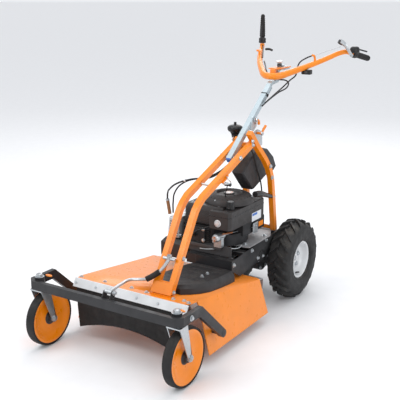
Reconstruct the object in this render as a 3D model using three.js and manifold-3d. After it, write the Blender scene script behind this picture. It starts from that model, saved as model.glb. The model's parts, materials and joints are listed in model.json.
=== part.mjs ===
// Walk-behind brush mower: cutter deck, height-adjusting front frame on two casters,
// two driven wheels, vertical-shaft engine and a swinging handlebar. Millimetres, +Z up,
// the machine drives toward -Y and its left side is +X.
import * as THREE from "three";
import { mergeVertices } from "three/addons/utils/BufferGeometryUtils.js";
import Module from "manifold-3d";

const wasm = await Module();
wasm.setup();
const { Manifold, Mesh: ManifoldMesh } = wasm;

// ---------------------------------------------------------------- driving dimensions
const SHIFT = [-26, 305, 0]; // layout frame -> frame with the box centre on the origin
const GAP = 0.4; // clearance left between neighbouring pieces
const CENTRE_X = 132; // middle plane of chassis, tube frame and handlebar

const WHEEL = { radius: 193, width: 112, bead: 91, track: 320, axle: 12 };
const CASTER = { x: 344, axleY: -1043, pivotY: -1087, radius: 121, width: 43, disc: 110 };
const DECK = { halfTop: 286, front: -936, rear: -360, topZ: 278, slope: 0.13, sheet: 4 };
const SKIRT = { foldX: 299, bottomX: 346, bottomZ: 46, front: -858, rear: -354 };
const BEAM = { halfWidth: 382, front: -1126, top: 309, height: 37, bar: 20, chamfer: 27 };
const LEVER = { y: -1085, z: 330 }; // pivot of the height lever between its ears
const ARM = { bendY: -978, pivotY: -806, pivotZ: 132, half: 17 };
const TUBE = 25; // square tube of the frame and of the column
const FRONT_TUBES = [[-879, 277], [-705, 560], [-690, 582], [-668, 604], [-636, 626], [-196, 792]];
const REAR_TUBES = [[37, -236, 838], [46, -186, 771], [60, -130, 700], [66, -97, 650],
  [68, -76, 600], [70, -63, 511], [73, -42, 335]];
const TUBE_OFFSET = 37; // front tubes left and right of the middle plane
const PIVOT = { y: -338, z: 741 }; // tilt pivot of the column
const COLUMN_ANGLE = 37.8 * Math.PI / 180;
const COLUMN_LENGTH = 492;
const SWING = { y: 155, knobY: 120, reach: 30 }; // swing bolt, clamp stud and slot half angle
const ENGINE = { x: 105, y: -302, floor: 339 };
const SPINDLE = { x: 78, y: -632 };
const BELT = { z: 256, driven: 46, driver: 38, depth: 9 };
const BLADE = { radius: 246, z: 92, width: 58, thickness: 6 };

// ---------------------------------------------------------------- materials
const PAINT = { color: 0xf07d08, roughness: 0.38, metalness: 0.0 };
const BLACK = { color: 0x262426, roughness: 0.5, metalness: 0.0 };
const PLASTIC = { color: 0x2b292b, roughness: 0.6, metalness: 0.0 };
const RUBBER = { color: 0x1c1b1c, roughness: 0.85, metalness: 0.0 };
const ZINC = { color: 0xc9d2d4, roughness: 0.35, metalness: 0.85 };
const STEEL = { color: 0x9a9c9e, roughness: 0.35, metalness: 1.0 };
const SILVER = { color: 0xd4d6d8, roughness: 0.45, metalness: 0.3 };
const GREY = { color: 0x9b9c9e, roughness: 0.55, metalness: 0.1 };

// ---------------------------------------------------------------- geometry helpers
const place = (geometry, x = 0, y = 0, z = 0) => geometry.translate(x, y, z);

function box(x0, x1, y0, y1, z0, z1) {
  return new THREE.BoxGeometry(x1 - x0, y1 - y0, z1 - z0)
    .translate((x0 + x1) / 2, (y0 + y1) / 2, (z0 + z1) / 2);
}

function extrude(points, depth) {
  const shape = new THREE.Shape(points.map(([a, b]) => new THREE.Vector2(a, b)));
  return new THREE.ExtrudeGeometry(shape, { depth, bevelEnabled: false });
}

// outline in XY, from z0 to z1
const plate = (points, z0, z1) => place(extrude(points, z1 - z0), 0, 0, z0);

// outline in YZ, from x0 to x1
function slab(points, x0, x1) {
  const geometry = extrude(points, x1 - x0);
  geometry.applyMatrix4(new THREE.Matrix4().set(0, 0, 1, 0, 1, 0, 0, 0, 0, 1, 0, 0, 0, 0, 0, 1));
  return place(geometry, x0, 0, 0);
}

// outline in XZ, from y0 to y1
function panel(points, y0, y1) {
  const geometry = extrude(points, y1 - y0);
  geometry.applyMatrix4(new THREE.Matrix4().set(1, 0, 0, 0, 0, 0, 1, 0, 0, 1, 0, 0, 0, 0, 0, 1));
  return place(outward(geometry), 0, y0, 0);
}

const AXES = {
  x: new THREE.Matrix4().makeRotationZ(-Math.PI / 2),
  y: new THREE.Matrix4(),
  z: new THREE.Matrix4().makeRotationX(Math.PI / 2),
};

// closed profile of [radius, along] points turned about an axis
function turned(profile, axis, segments, x = 0, y = 0, z = 0) {
  const points = profile.map(([r, h]) => new THREE.Vector2(r, h));
  const geometry = new THREE.LatheGeometry(points, segments).toNonIndexed();
  geometry.applyMatrix4(AXES[axis]);
  return place(outward(geometry), x, y, z);
}

function rod(radius, from, to, axis, segments, x = 0, y = 0, z = 0) {
  return turned([[0, from], [radius, from], [radius, to], [0, to]], axis, segments, x, y, z);
}

function sweep(path, radius, sides, steps) {
  const outline = [];
  for (let i = 0; i < sides; i += 1) {
    const a = 2 * Math.PI * i / sides;
    outline.push(new THREE.Vector2(radius * Math.cos(a), radius * Math.sin(a)));
  }
  const curve = new THREE.CatmullRomCurve3(path.map((p) => new THREE.Vector3(...p)),
    false, "centripetal");
  return new THREE.ExtrudeGeometry(new THREE.Shape(outline),
    { steps, extrudePath: curve, bevelEnabled: false });
}

// round bar along a path, its radius a function of the place along it from 0 to 1
function pipe(path, radiusAt, sides, steps) {
  const curve = new THREE.CatmullRomCurve3(path.map((p) => new THREE.Vector3(...p)),
    false, "centripetal");
  const frames = curve.computeFrenetFrames(steps, false);
  const rings = [];
  for (let k = 0; k <= steps; k += 1) {
    const centre = curve.getPointAt(k / steps);
    const radius = radiusAt(k / steps);
    rings.push(Array.from({ length: sides }, (_, i) => {
      const a = 2 * Math.PI * i / sides;
      return centre.clone().addScaledVector(frames.normals[k], radius * Math.cos(a))
        .addScaledVector(frames.binormals[k], radius * Math.sin(a)).toArray();
    }));
  }
  return skin(rings);
}

// closed solid from rings with the same number of points
function skin(rings) {
  const n = rings[0].length;
  const positions = [];
  const tri = (...corners) => corners.forEach((c) => positions.push(...c));
  for (let k = 0; k < rings.length - 1; k += 1) {
    for (let i = 0; i < n; i += 1) {
      const j = (i + 1) % n;
      const [a, b, c, d] = [rings[k][i], rings[k][j], rings[k + 1][j], rings[k + 1][i]];
      tri(a, b, c);
      tri(a, c, d);
    }
  }
  const cap = (ring, flip) => {
    const flat = flatten(ring);
    THREE.ShapeUtils.triangulateShape(flat, []).forEach(([i, j, k]) => {
      if ((THREE.ShapeUtils.area(flat) > 0) !== flip) tri(ring[i], ring[k], ring[j]);
      else tri(ring[i], ring[j], ring[k]);
    });
  };
  cap(rings[0], false);
  cap(rings[rings.length - 1], true);
  const geometry = new THREE.BufferGeometry();
  geometry.setAttribute("position", new THREE.Float32BufferAttribute(positions, 3));
  return outward(geometry);
}

// a ring projected on the coordinate plane that shows it largest
function flatten(ring) {
  const spans = [0, 1, 2].map((k) => {
    const values = ring.map((p) => p[k]);
    return Math.max(...values) - Math.min(...values);
  });
  const drop = spans.indexOf(Math.min(...spans));
  const keep = [0, 1, 2].filter((k) => k !== drop);
  return ring.map((p) => new THREE.Vector2(p[keep[0]], p[keep[1]]));
}

function volume(geometry) {
  const p = geometry.attributes.position;
  const [a, b, c] = [new THREE.Vector3(), new THREE.Vector3(), new THREE.Vector3()];
  let sum = 0;
  for (let i = 0; i < p.count; i += 3) {
    a.fromBufferAttribute(p, i);
    b.fromBufferAttribute(p, i + 1);
    c.fromBufferAttribute(p, i + 2);
    sum += a.dot(b.cross(c));
  }
  return sum;
}

function outward(geometry) {
  if (volume(geometry) >= 0) return geometry;
  const p = geometry.attributes.position;
  for (let i = 0; i < p.count; i += 3) {
    const [x, y, z] = [p.getX(i), p.getY(i), p.getZ(i)];
    p.setXYZ(i, p.getX(i + 1), p.getY(i + 1), p.getZ(i + 1));
    p.setXYZ(i + 1, x, y, z);
  }
  return geometry;
}

// square tube along a path; its sides stay parallel to X
function squareTube(path, size) {
  const h = size / 2;
  return skin(path.map(([x, y, z], i) => {
    const before = path[Math.max(i - 1, 0)];
    const after = path[Math.min(i + 1, path.length - 1)];
    const length = Math.hypot(after[1] - before[1], after[2] - before[2]);
    const [ny, nz] = [-(after[2] - before[2]) / length, (after[1] - before[1]) / length];
    return [[-h, -h], [h, -h], [h, h], [-h, h]]
      .map(([across, up]) => [x + across, y + up * ny, z + up * nz]);
  }));
}

// ---------------------------------------------------------------- booleans
function solid(geometry) {
  const bare = new THREE.BufferGeometry();
  bare.setAttribute("position", geometry.attributes.position);
  if (geometry.index) bare.setIndex(geometry.index);
  const merged = mergeVertices(bare, 1e-3);
  const index = [];
  for (let i = 0; i < merged.index.count; i += 3) {
    const [a, b, c] = [0, 1, 2].map((k) => merged.index.getX(i + k));
    if (a !== b && b !== c && a !== c) index.push(a, b, c);
  }
  return new Manifold(new ManifoldMesh({
    numProp: 3,
    vertProperties: new Float32Array(merged.attributes.position.array),
    triVerts: new Uint32Array(index),
  }));
}

function unsolid(manifold) {
  const mesh = manifold.getMesh();
  const geometry = new THREE.BufferGeometry();
  geometry.setAttribute("position", new THREE.BufferAttribute(mesh.vertProperties, 3));
  geometry.setIndex(new THREE.BufferAttribute(mesh.triVerts, 1));
  return geometry;
}

const fuse = (...parts) => unsolid(parts.map(solid).reduce((a, b) => a.add(b)));
const cut = (body, ...tools) => unsolid(tools.map(solid).reduce((a, b) => a.subtract(b),
  solid(body)));

// ---------------------------------------------------------------- assembly
const machine = new THREE.Group();
machine.name = "brush_mower";

function add(name, geometry, look) {
  const mesh = new THREE.Mesh(place(geometry, ...SHIFT), new THREE.MeshStandardMaterial(look));
  mesh.name = name;
  machine.add(mesh);
}

const mirrored = (x, side) => CENTRE_X + side * x;
const deckTop = (y) => DECK.topZ - DECK.slope * (y - DECK.front);

// ---------------------------------------------------------------- cutter deck
{
  // one bent sheet: roof, low side walls and flared skirts, lofted from front to rear
  const section = (y) => {
    const t = DECK.sheet;
    const roof = deckTop(y);
    const fold = roof - 4 - 25 * (y - DECK.rear) / (DECK.front - DECK.rear);
    const half = [[DECK.halfTop, roof], [SKIRT.foldX, fold], [SKIRT.bottomX, SKIRT.bottomZ],
      [SKIRT.bottomX - t, SKIRT.bottomZ], [SKIRT.foldX - t, fold - t], [DECK.halfTop - t, roof - t]];
    const other = half.map(([x, z]) => [-x, z]).reverse();
    return [...half, ...other].map(([x, z]) => [x, y, z]);
  };
  const skirts = skin([section(SKIRT.front), section(SKIRT.rear)]);
  const roofAt = (y, drop) => [y, deckTop(y) - drop];
  const nose = slab([roofAt(DECK.front, DECK.sheet), roofAt(SKIRT.front + 2, DECK.sheet),
    roofAt(SKIRT.front + 2, 0), roofAt(DECK.front, 0)], -DECK.halfTop, DECK.halfTop);
  const corners = [-1, 1].map((side) => plate([[side * 300, -950], [side * 262, -950],
    [side * 300, -880]], 200, 320));
  const spindleHole = rod(34, 150, 300, "z", 24, SPINDLE.x, SPINDLE.y, 0);
  add("deck_pan", cut(fuse(skirts, nose), ...corners, spindleHole), PAINT);

  add("deck_rear_plate", slab([[SKIRT.rear + 2, 192], [-300, 178], [-300, 130], [-297, 130],
    [-297, 182], [SKIRT.rear + 2, 196]], -288, 288), ZINC);

  // clamp strip on the front edge and the rubber curtain hanging behind it
  add("front_strip", slab([[-938, 281], [-944, 281], [-962, 248], [-958, 246], [-941, 277],
    [-938, 277]], -276, 300), SILVER);
  const arch = [];
  for (let i = 0; i <= 12; i += 1) {
    const x = -268 + 536 * i / 12;
    arch.push([x, 48 + 54 * (1 - ((x + 12) / 268) ** 2)]);
  }
  add("front_curtain", panel([...arch, [272, 150], [276, 262], [-276, 262], [-276, 150]],
    -937, -932), RUBBER);

  // moulded cover over the cutter drive
  const foot = [[-835, 58], [-805, 85], [-765, 108], [-708, 124], [-628, 124], [-535, 120],
    [-486, 113]];
  const ringOf = (inset, rise, rear = 0) => {
    const edge = foot.map(([y, x]) => [x - inset, y < -800 ? y + inset : y]);
    edge[edge.length - 1][1] += rear;
    return [...edge.map(([x, y]) => [CENTRE_X + x, y]),
      ...edge.slice().reverse().map(([x, y]) => [CENTRE_X - x, y])]
      .map(([x, y]) => [x, y, deckTop(y) + 1 + rise * (1 + 0.0007 * (y + 835))]);
  };
  add("belt_cover", cut(skin([ringOf(0, 0), ringOf(2, 24), ringOf(14, 38)]),
    skin([ringOf(3.5, -1, 20), ringOf(5.5, 22, 20), ringOf(17, 34, 20)])), PLASTIC);
}

// ---------------------------------------------------------------- cutter drive
{
  const roof = deckTop(SPINDLE.y);
  const [low, high] = [BELT.z - BELT.depth / 2, BELT.z + BELT.depth / 2];
  const groove = (radius, bottom, top) => [[radius + 5, bottom], [radius + 5, bottom + 2],
    [radius - 3, BELT.z - 2], [radius - 3, BELT.z + 2], [radius + 5, top - 2], [radius + 5, top]];
  add("spindle_housing", turned([[13, 128], [30, 128], [30, roof - 45], [52, roof - 14],
    [52, roof - DECK.sheet - 8], [13, roof - DECK.sheet - 8], [13, 128]], "z", 28,
  SPINDLE.x, SPINDLE.y), BLACK);
  add("spindle", turned([[0, BLADE.z - 14], [19, BLADE.z - 14], [19, BLADE.z - 5], [9, BLADE.z - 5],
    [9, BLADE.z + 8], [26, BLADE.z + 8], [26, BLADE.z + 20], [12, BLADE.z + 20], [12, low - 5],
    ...groove(BELT.driven, low - 5, high + 5), [0, high + 5]], "z", 28, SPINDLE.x, SPINDLE.y), STEEL);
  const half = BLADE.width / 2;
  const bar = plate([[-BLADE.radius, -half], [BLADE.radius - 30, -half], [BLADE.radius, half],
    [-BLADE.radius + 30, half]].map(([x, y]) => [SPINDLE.x + x, SPINDLE.y + y]),
  BLADE.z, BLADE.z + BLADE.thickness);
  add("blade", cut(bar, rod(9.5, BLADE.z - 5, BLADE.z + 20, "z", 24, SPINDLE.x, SPINDLE.y)), STEEL);
  add("crank_pulley", turned([[0, low - 5], ...groove(BELT.driver, low - 5, high + 5),
    [14, high + 5], [14, ENGINE.floor - GAP], [0, ENGINE.floor - GAP]], "z", 28,
  ENGINE.x, ENGINE.y), STEEL);

  // belt: outer outline minus inner outline, both hugging the two pulleys
  const loop = (extra) => {
    const [dx, dy] = [ENGINE.x - SPINDLE.x, ENGINE.y - SPINDLE.y];
    const length = Math.hypot(dx, dy);
    const heading = Math.atan2(dy, dx);
    const lean = Math.acos((BELT.driven - BELT.driver) / length);
    const arc = (cx, cy, radius, from, to) => Array.from({ length: 13 }, (_, i) => {
      const a = heading + from + (to - from) * i / 12;
      return [cx + radius * Math.cos(a), cy + radius * Math.sin(a)];
    });
    return [...arc(SPINDLE.x, SPINDLE.y, BELT.driven + extra, lean, 2 * Math.PI - lean),
      ...arc(ENGINE.x, ENGINE.y, BELT.driver + extra, -lean, lean)];
  };
  add("drive_belt", cut(plate(loop(8), BELT.z - 1.5, BELT.z + 1.5),
    plate(loop(-2), low - 9, high + 9)), RUBBER);
}

// ---------------------------------------------------------------- chassis and wheels
{
  const side = [[-482, 262], [-482, 307], [-319, 318], [-122, 332], [-20, 332], [-20, 246],
    [-199, 236], [-408, 216]];
  const [inner, outer] = [92, 96];
  const wall = (s) => slab(side, Math.min(mirrored(inner, s), mirrored(outer, s)),
    Math.max(mirrored(inner, s), mirrored(outer, s)));
  const across = (y0, y1, z0, z1) => box(CENTRE_X - outer + 1, CENTRE_X + outer - 1, y0, y1, z0, z1);
  const channel = box(-12, mirrored(outer - 1, 1), -481.5, -444, 262, 306.5);
  add("chassis_frame", fuse(wall(-1), wall(1), channel, across(-60, -22, 290, 331.5),
    across(-380, -340, 300, 316)), BLACK);
  add("chassis_top_plate", cut(plate([[-84, -352], [84, -352], [108, -345], [108, -141], [75, -72],
    [-75, -72], [-108, -141], [-108, -345]].map(([x, y]) => [CENTRE_X + x, y]), 333, 337),
  rod(60, 320, 350, "z", 24, ENGINE.x, ENGINE.y)), GREY);

  const [gx0, gx1] = [CENTRE_X - 62, CENTRE_X + 62];
  add("gearbox", cut(fuse(rod(60, gx0, gx1, "x", 28, 0, -125, 212), rod(50, gx0 + 8, gx1 - 8, "x", 24, 0, 0,
    WHEEL.radius), slab([[-125, 265], [0, 240], [0, 146], [-125, 155]], gx0 + 12, gx1 - 12),
  rod(24, CENTRE_X - 84, CENTRE_X + 84, "x", 20, 0, 0, WHEEL.radius)),
  rod(WHEEL.axle + GAP, gx0 - 40, gx1 + 40, "x", 20, 0, 0, WHEEL.radius)), BLACK);

  for (const [name, s] of [["left", 1], ["right", -1]]) {
    const hub = mirrored(WHEEL.track / 2, s);
    const r = WHEEL.bead;
    const lay = (profile, n) => turned(profile.map(([a, h]) => [a, s * h]), "x", n, hub, 0,
      WHEEL.radius);
    add(`rim_${name}`, lay([[0, 16], [24, 16], [28, 8], [58, 4], [74, 12], [82, 40], [84, 44],
      [r - 1, 44], [r - 1, -42], [r - 5, -42], [r - 9, -6], [58, -4], [28, -8], [0, -8]], 32), SILVER);
    add(`tyre_${name}`, lay([[r, -44], [r, 44], [100, 52], [140, 56], [172, 54], [184, 46],
      [WHEEL.radius, 26], [WHEEL.radius, -26], [184, -46], [172, -54], [140, -56], [100, -52],
      [r, -44]], 40), RUBBER);
    const [from, to] = [CENTRE_X + s * 6, hub - s * (8 + GAP)];
    add(`axle_${name}`, rod(WHEEL.axle, Math.min(from, to), Math.max(from, to), "x", 20, 0, 0,
      WHEEL.radius), STEEL);
  }
}

// ---------------------------------------------------------------- front frame and casters
{
  const { halfWidth: w, front, top, height, bar, chamfer } = BEAM;
  const outer = [[w, ARM.bendY], [w, front + chamfer], [w - chamfer, front]];
  const k = bar * 0.414;
  const inner = [[w - chamfer - k, front + bar], [w - bar, front + chamfer + k],
    [w - bar, ARM.bendY]];
  const hoop = [...outer, ...outer.slice().reverse().map(([x, y]) => [-x, y]),
    ...inner.slice().reverse().map(([x, y]) => [-x, y]), ...inner];
  const half = ARM.half;
  const slope = Math.atan2(ARM.pivotZ - (top - height / 2), ARM.pivotY - ARM.bendY);
  const [ux, uz] = [Math.cos(slope), Math.sin(slope)];
  const armOutline = [[ARM.bendY - 30, top - height], [ARM.bendY - 30, top], [ARM.bendY + 8, top]];
  for (let i = 0; i <= 8; i += 1) {
    const a = Math.PI / 2 - Math.PI * i / 8;
    armOutline.push([ARM.pivotY + half * (ux * Math.cos(a) - uz * Math.sin(a)),
      ARM.pivotZ + half * (uz * Math.cos(a) + ux * Math.sin(a))]);
  }
  armOutline.push([ARM.bendY - 8, top - height]);
  const arms = [-1, 1].map((s) => slab(armOutline, s > 0 ? w - bar : -w, s > 0 ? w : -w + bar));
  const bosses = [-1, 1].map((s) => rod(11, s > 0 ? 329 : -w + 5, s > 0 ? w - 5 : -329, "x", 20, 0,
    ARM.pivotY, ARM.pivotZ));
  const housings = [-1, 1].map((s) => rod(21, 272, 318, "z", 24, s * (CASTER.x - 1), CASTER.pivotY));
  const bores = [-1, 1].map((s) => rod(9, 260, 330, "z", 20, s * CASTER.x, CASTER.pivotY));
  const windows = [-1, 1].map((s) => box(s > 0 ? w - 30 : -w - 10, s > 0 ? w + 10 : -w + 30, -1052,
    -1036, 276, 300));
  const ears = [6, 44].map((x) => slab([[front + bar - 2, top - 30], [front + bar - 2, top + 2],
    [-1092, top + 26], [-1076, top + 26], [-1072, top + 12], [-1090, top - 30]], x - 4, x));
  add("front_frame", cut(fuse(plate(hoop, top - height, top), ...arms, ...bosses, ...housings,
    ...ears), ...bores, ...windows), BLACK);

  for (const [name, s] of [["left", 1], ["right", -1]]) {
    const cx = s * CASTER.x;
    const { axleY, pivotY, radius } = CASTER;
    const fork = [[pivotY - 26, 264], [pivotY + 26, 264], [axleY + 13, radius - 6],
      [axleY + 6, radius - 13], [axleY - 6, radius - 13], [axleY - 13, radius - 4]];
    const legs = [-1, 1].map((t) => slab(fork, cx + t * 29 - 2, cx + t * 29 + 2));
    add(`fork_${name}`, fuse(...legs, plate([[-31, -27], [31, -27], [31, 27], [-31, 27]]
      .map(([x, y]) => [cx + x, pivotY + y]), 260, 265),
    rod(8, 262, 326, "z", 16, cx, pivotY), rod(17, 265, 270, "z", 20, cx, pivotY),
    rod(14, 319, 329, "z", 6, cx, pivotY), rod(7.5, cx - 34, cx + 34, "x", 16, 0, axleY, radius),
    rod(12, cx - 37, cx - 31, "x", 6, 0, axleY, radius),
    rod(12, cx + 31, cx + 37, "x", 6, 0, axleY, radius)), ZINC);
    const lay = (profile, n) => turned(profile, "x", n, cx, axleY, radius);
    const h = CASTER.width / 2;
    add(`caster_disc_${name}`, lay([[8, -25], [20, -25], [24, -9], [70, -5], [96, -h + 6],
      [CASTER.disc, -h + 3], [CASTER.disc, h - 3], [96, h - 6], [70, 5], [24, 9], [20, 25],
      [8, 25], [8, -25]], 32), PAINT);
    add(`caster_tyre_${name}`, lay([[CASTER.disc + GAP, -h + 2], [radius - 5, -h], [radius, -h + 6],
      [radius, h - 6], [radius - 5, h], [CASTER.disc + GAP, h - 2], [CASTER.disc + GAP, -h + 2]], 40),
    RUBBER);
  }
}

// ---------------------------------------------------------------- tube frame
{
  const front = (s) => squareTube(FRONT_TUBES.map(([y, z]) => [mirrored(TUBE_OFFSET, s), y, z]),
    TUBE);
  const rear = (s, path) => squareTube(path.map(([x, y, z]) => [mirrored(x, s), y, z]), TUBE);
  const shortRear = [[41, -213, 799], ...REAR_TUBES.slice(1)];
  const reach = TUBE_OFFSET + TUBE / 2;
  const footPlate = slab([[-884, 280], [-880, 280], [-857, 322], [-861, 324]],
    CENTRE_X - reach, CENTRE_X + reach);
  const floorPlate = slab([[-900, deckTop(-900) + GAP], [-850, deckTop(-850) + GAP],
    [-850, deckTop(-850) + 4], [-900, deckTop(-900) + 4]], CENTRE_X - reach, CENTRE_X + reach);
  const apexTie = box(CENTRE_X - TUBE_OFFSET, CENTRE_X + TUBE_OFFSET, -208, -188, 766, 784);
  const footTie = box(CENTRE_X - 72, CENTRE_X + 72, -50, -42, 338.5, 356);
  add("handle_frame", fuse(front(1), front(-1), rear(1, REAR_TUBES), rear(-1, shortRear),
    footPlate, floorPlate, apexTie, footTie), PAINT);
  add("cross_rod", rod(5, CENTRE_X - TUBE_OFFSET + TUBE / 2 + GAP,
    CENTRE_X + TUBE_OFFSET - TUBE / 2 - GAP, "x", 14, 0, -545, 659), ZINC);
  add("lock_plate", slab([[-205, 790], [-190, 806], [-146, 826], [-128, 832], [-102, 822],
    [-86, 792], [-84, 754], [-108, 754], [-134, 768]], CENTRE_X + 19.5, CENTRE_X + 24), ZINC);
  const ring = [[184.5, -462, 684], [196, -470, 676]];
  for (let i = 0; i <= 8; i += 1) {
    const a = 0.9 - 2 * Math.PI * i / 9;
    ring.push([204 + 17 * Math.cos(a), -492 + 17 * Math.sin(a), 668 - 1.5 * i]);
  }
  add("rope_guide", sweep(ring, 3, 6, 26), ZINC);
}

// ---------------------------------------------------------------- column with its head
{
  const [uy, uz] = [Math.cos(COLUMN_ANGLE), Math.sin(COLUMN_ANGLE)];
  const along = (d) => [CENTRE_X, PIVOT.y + d * uy, PIVOT.z + d * uz];
  const head = slab([[-8, 996], [34, 1024], [92, 1030], [101, 1040], [101, 1086], [178, 1086],
    [178, 1093], [88, 1093], [88, 1043], [30, 1040], [10, 1030]], CENTRE_X - 11, CENTRE_X + 11);
  const wing = plate([[-20, 98], [20, 98], [20, 106], [27, 113], [27, 178], [-27, 178],
    [-27, 113], [-20, 106]].map(([x, y]) => [CENTRE_X + x, y]), 1086.5, 1093);
  const clampPlate = slab([[-186, 842], [-176, 896], [-158, 902], [-134, 884], [-130, 852],
    [-158, 832]], CENTRE_X + 12, CENTRE_X + 17);
  const slotArc = (radius, turn) => Array.from({ length: 9 }, (_, i) => {
    const a = turn * (i / 4 - 1) * SWING.reach * Math.PI / 180;
    return [CENTRE_X + radius * Math.sin(a), SWING.y - radius * Math.cos(a)];
  });
  const slot = [...slotArc(40.6, 1), ...slotArc(29.4, -1)];
  const swingBolt = fuse(rod(6, 1088, 1106, "z", 16, CENTRE_X, SWING.y),
    rod(10, 1099.5, 1107, "z", 6, CENTRE_X, SWING.y));
  add("column", cut(fuse(squareTube([along(-17), along(COLUMN_LENGTH - 40)], TUBE), head, wing,
    clampPlate, swingBolt), rod(5, CENTRE_X - 40, CENTRE_X + 40, "x", 16, 0, PIVOT.y, PIVOT.z),
  plate(slot, 1080, 1100)), ZINC);
  const inner = TUBE_OFFSET - TUBE / 2;
  add("tilt_bolt", rod(4.5, CENTRE_X - inner + GAP, CENTRE_X + inner - GAP, "x", 16, 0,
    PIVOT.y, PIVOT.z), STEEL);
  add("tilt_clamp_lever", fuse(rod(6, CENTRE_X + 17.4, CENTRE_X + 31, "x", 14, 0, -150, 884),
    sweep([[CENTRE_X + 28, -150, 884], [CENTRE_X + 28, -135, 878], [CENTRE_X + 28, -130, 860]],
      5.5, 10, 8)), PAINT);
  add("lock_lever", fuse(rod(6, CENTRE_X + 24.4, CENTRE_X + 52, "x", 14, 0, -136, 820),
    sweep([[CENTRE_X + 48, -136, 820], [CENTRE_X + 48, -121, 838], [CENTRE_X + 48, -101, 851]],
      5.5, 10, 8)), PAINT);
}

// ---------------------------------------------------------------- handlebar and controls
const BAR_LEFT = [[161, 56, 1064], [194, 108, 1077], [222, 159, 1091], [251, 210, 1106],
  [280, 260, 1122], [310, 310, 1140], [340, 360, 1158], [362, 388, 1163]];
const BAR_RIGHT = [[-108, 390, 1162], [-85, 340, 1154], [-52, 265, 1137], [-21, 205, 1118],
  [11, 152, 1100], [48, 102, 1081], [80, 62, 1067], [105, 44, 1063]];
const GRIP_LEFT = { from: [377, 404, 1158], along: [0.27, 0.93, -0.24] };
const GRIP_RIGHT = { from: [-114, 404, 1168], along: [-0.05, 0.10, 0.99] };
const onGrip = (grip, d, lift = [0, 0, 0]) => grip.from.map((v, k) =>
  v + d * grip.along[k] + lift[k]);
{
  const path = [onGrip(GRIP_RIGHT, 14), onGrip(GRIP_RIGHT, 3), ...BAR_RIGHT,
    [CENTRE_X, 40, 1063], ...BAR_LEFT, onGrip(GRIP_LEFT, 5), onGrip(GRIP_LEFT, 16)];
  const topPlate = box(CENTRE_X - 28, CENTRE_X + 28, 60, 192, 1094, 1099);
  const riser = box(CENTRE_X - 12, CENTRE_X + 12, 46, 64, 1060, 1098.5);
  add("handlebar", cut(fuse(pipe(path, (t) => 12 + 4.5 * Math.exp(-(((t - 0.5) / 0.2) ** 2)), 12,
    60), topPlate, riser), rod(5.5, 1085, 1105, "z", 16, CENTRE_X, SWING.knobY),
  rod(6.5, 1085, 1105, "z", 16, CENTRE_X, SWING.y)), PAINT);
  add("swing_knob", turned([[0, 1079], [5, 1079], [5, 1100], [9, 1100], [9, 1116], [6, 1119],
    [17, 1122], [18, 1127], [12, 1130], [0, 1131]], "z", 20, CENTRE_X, SWING.knobY), SILVER);

  for (const [name, grip, length] of [["left", GRIP_LEFT, 140], ["right", GRIP_RIGHT, 150]]) {
    const thin = name === "left" ? 15 : 11;
    const path2 = [0, 0.5, 1].map((f) => onGrip(grip, 46 + f * (length - 30)));
    const geometry = sweep(path2, thin, 14, 3);
    add(`grip_${name}`, geometry, RUBBER);
    add(`control_${name}`, sweep([onGrip(grip, 17), onGrip(grip, 30), onGrip(grip, 45)],
      name === "left" ? 20 : 17, 14, 3), PLASTIC);
  }
  add("clutch_lever_left", sweep([onGrip(GRIP_LEFT, 48, [0, -2, 25]), onGrip(GRIP_LEFT, 70,
    [0, 0, 28.5]), onGrip(GRIP_LEFT, 110, [0, 0, 30]), onGrip(GRIP_LEFT, 138, [0, 0, 31])], 4, 8, 12),
  BLACK);
  add("clutch_lever_right", sweep([onGrip(GRIP_RIGHT, 26, [2, -22, 0]), onGrip(GRIP_RIGHT, 60,
    [6, -26, 0]), onGrip(GRIP_RIGHT, 96, [8, -24, 0]), onGrip(GRIP_RIGHT, 112, [8, -26, 0])],
  4, 8, 12), BLACK);
  add("hand_lever", fuse(sweep([[392, 380, 1150], [377, 363, 1180], [364, 350, 1204]], 7, 10, 6),
    sweep([[366, 352, 1200], [357, 342, 1212], [350, 335, 1218]], 11, 12, 4)), ZINC);
  add("throttle_lever", sweep([[-72, 364, 1158], [-50, 360, 1160], [-30, 357, 1155]], 6, 10, 6),
    PLASTIC);
  add("switch_box", box(222, 270, 176, 204, 1058, 1080), PLASTIC);
  add("cable_left", sweep([[232, 168, 1066], [208, 138, 1050], [190, 116, 1038], [171, 100, 1010],
    [162, 14, 983], [151, -58, 951]], 3.2, 6, 30), RUBBER);
  add("cable_right", sweep([[0, 214, 1112], [34, 164, 1094], [66, 114, 1077], [96, 86, 1056],
    [132, 80, 1051.5], [170, 74, 1036], [160, 30, 1022], [153, -42, 974], [151, -82, 940]], 3.2,
  6, 40), RUBBER);
}

// ---------------------------------------------------------------- fuel tank
{
  const outline = [[-276, 655], [-192, 714], [-132, 742], [-102, 747], [-30, 727], [36, 676],
    [66, 625], [39, 608], [-34, 603], [-165, 557], [-184, 560]];
  const shrink = ([y, z], f) => [y + (-120 - y) * f, z + (660 - z) * f];
  const shell = skin([[98, 0.06], [104, 0], [154, 0], [160, 0.06]].map(([x, f]) =>
    outline.map((p) => shrink(p, f)).map(([y, z]) => [x, y, z])));
  const neck = sweep([[112, -40, 688], [64, -44, 704], [34, -66, 734], [23, -96, 766],
    [22, -108, 799]], 19, 14, 12);
  add("fuel_tank", fuse(shell, neck), PLASTIC);
  add("tank_cap", turned([[0, 806], [21, 806], [30, 811], [37, 822], [37, 828], [28, 838],
    [12, 844], [6, 844], [6, 855], [0, 856]], "z", 24, 22, -109), PLASTIC);
  add("fuel_hose", sweep([[167, -208, 752], [168, -188, 722], [168, -160, 662], [169, -120, 590],
    [172, -110, 530], [172, -122, 470]], 4, 6, 20), RUBBER);
}

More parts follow.
